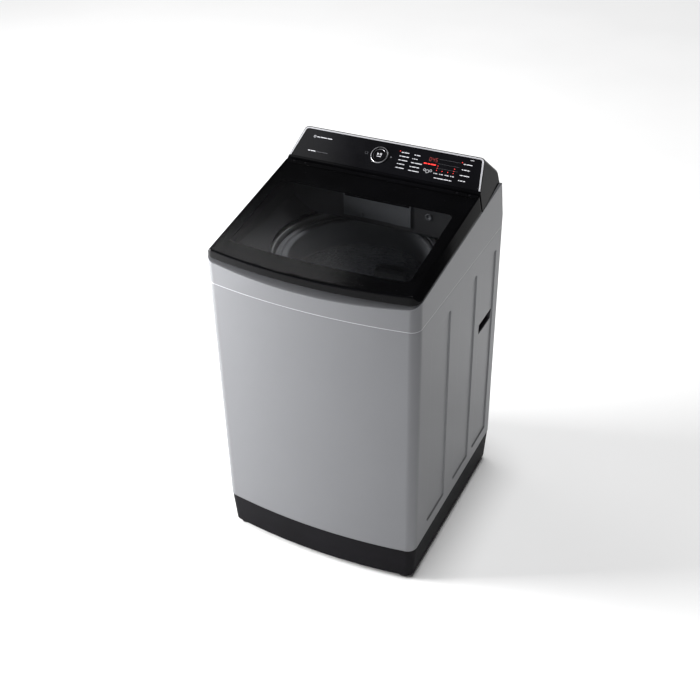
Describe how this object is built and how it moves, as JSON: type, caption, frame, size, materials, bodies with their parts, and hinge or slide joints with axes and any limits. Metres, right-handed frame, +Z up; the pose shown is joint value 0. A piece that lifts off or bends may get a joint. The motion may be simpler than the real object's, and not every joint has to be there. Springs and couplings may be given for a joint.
{
  "type": "top load washing machine",
  "caption": "Top load washing machine with a smoked window lid, sloped control console, hanging tub, spinning drum and pulsator, on a black plinth with screw feet.",
  "frame": {"origin": "on the floor under the tub's axis, at the bottom centre of the object's box", "axes": "+X to the right seen from the front, +Y to the back, +Z up; the front faces -Y"},
  "size_m": [0.54, 0.572, 0.984],
  "materials": {
    "cabinet_paint": "satin powder paint, warm silver grey",
    "cover_grey": "moulded, silver grey",
    "black_gloss": "moulded, high gloss piano black",
    "fascia_black": "printed acrylic, gloss",
    "smoked_window": "smoke tinted, clear",
    "silver_trim": "satin chrome plate",
    "plinth_black": "moulded, fine texture",
    "dark_rubber": "moulded rubber",
    "stainless": "rolled stainless sheet",
    "steel": "turned or plated steel",
    "galvanised": "galvanised sheet",
    "cast_alloy": "die cast",
    "tub_plastic": "moulded polypropylene",
    "drum_plastic": "moulded polypropylene, pale grey",
    "drawer_plastic": "moulded ABS, grey",
    "circuit_green": "coated circuit board",
    "copper": "enamelled copper wire",
    "magnet": "sintered ferrite",
    "white_plastic": "moulded acetal"
  },
  "bodies": {
    "cabinet": {"base_frame": "plinth_black", "rear_feet": "dark_rubber", "cabinet_wrap": "cabinet_paint", "back_panel": "galvanised", "rear_screws": "steel", "handle_cups": "plinth_black", "top_cover": "cover_grey", "lid_buffers": "dark_rubber", "hinge_brackets": "plinth_black", "hinge_pins": "steel", "console_housing": "black_gloss", "console_trim": "silver_trim", "control_fascia": "fascia_black", "control_board": "circuit_green", "dial_encoder": "white_plastic", "drawer_housing": "drawer_plastic", "inlet_valve": "white_plastic", "fill_hose": "dark_rubber", "level_sensor": "white_plastic", "level_tube": "dark_rubber", "cord_grommet": "dark_rubber", "suspension_brackets": "galvanised", "suspension_rods": "steel", "suspension_cups": "white_plastic", "suspension_springs": "steel", "drain_bellows": "dark_rubber", "pump_housing": "white_plastic", "pump_motor": "steel", "drain_outlet": "plinth_black"},
    "left_foot": {"left_leveling_foot": "dark_rubber"},
    "right_foot": {"right_leveling_foot": "dark_rubber"},
    "lid": {"lid_frame": "black_gloss", "lid_window": "smoked_window"},
    "dial": {"dial_ring": "silver_trim"},
    "key": {"start_key": "fascia_black"},
    "drawer": {"detergent_drawer": "drawer_plastic", "softener_cap": "white_plastic"},
    "tub": {"outer_tub": "tub_plastic", "tub_ring": "tub_plastic", "drain_spigot": "dark_rubber", "drive_bracket": "galvanised", "gearcase": "cast_alloy", "main_bearings": "steel", "stator_core": "galvanised", "stator_coils": "copper", "clutch_actuator": "white_plastic"},
    "drum": {"basket_shell": "stainless", "balance_ring": "drum_plastic", "basket_base": "drum_plastic", "basket_hub": "cast_alloy", "spin_shaft": "steel", "shaft_bushes": "copper", "lint_filters": "drum_plastic"},
    "agitator": {"pulsator": "drum_plastic", "pulsator_screw": "steel", "wash_shaft": "steel", "rotor_cup": "galvanised", "rotor_magnets": "magnet"},
    "impeller": {"pump_impeller": "plinth_black"}
  },
  "joints": [
    {"name": "lid_hinge", "type": "hinge", "parent": "cabinet", "child": "lid", "pos_m": [0, 0.12041, 0.91838], "axis": [-1, 0, 0], "range_deg": [0, 100]},
    {"name": "dial_turn", "type": "hinge", "parent": "cabinet", "child": "dial", "pos_m": [-0.0208, 0.16836, 0.95716], "axis": [0, -0.6181, 0.7861], "continuous": true},
    {"name": "key_press", "type": "slide", "parent": "cabinet", "child": "key", "axis": [0, 0.6181, -0.7861], "range_m": [0, 0.001], "stiffness_N_per_m": 300, "springref_m": -0.002},
    {"name": "drawer_slide", "type": "slide", "parent": "cabinet", "child": "drawer", "axis": [0, -1, 0], "range_m": [0, 0.095]},
    {"name": "tub_bounce", "type": "slide", "parent": "cabinet", "child": "tub", "axis": [0, 0, 1], "range_m": [-0.02, 0.01], "stiffness_N_per_m": 16000, "springref_m": 0.01765, "deforming": ["suspension_springs", "drain_bellows", "level_tube"]},
    {"name": "drum_spin", "type": "hinge", "parent": "tub", "child": "drum", "pos_m": [0, 0, 0.25], "axis": [0, 0, 1], "continuous": true},
    {"name": "agitator_spin", "type": "hinge", "parent": "drum", "child": "agitator", "pos_m": [0, 0, 0.25], "axis": [0, 0, 1], "continuous": true},
    {"name": "impeller_spin", "type": "hinge", "parent": "cabinet", "child": "impeller", "pos_m": [0.13, 0.115, 0.066], "axis": [1, 0, 0], "continuous": true},
    {"name": "left_foot_screw", "type": "slide", "parent": "cabinet", "child": "left_foot", "axis": [0, 0, -1], "range_m": [0, 0.012]},
    {"name": "right_foot_screw", "type": "slide", "parent": "cabinet", "child": "right_foot", "axis": [0, 0, -1], "range_m": [0, 0.012]}
  ]
}
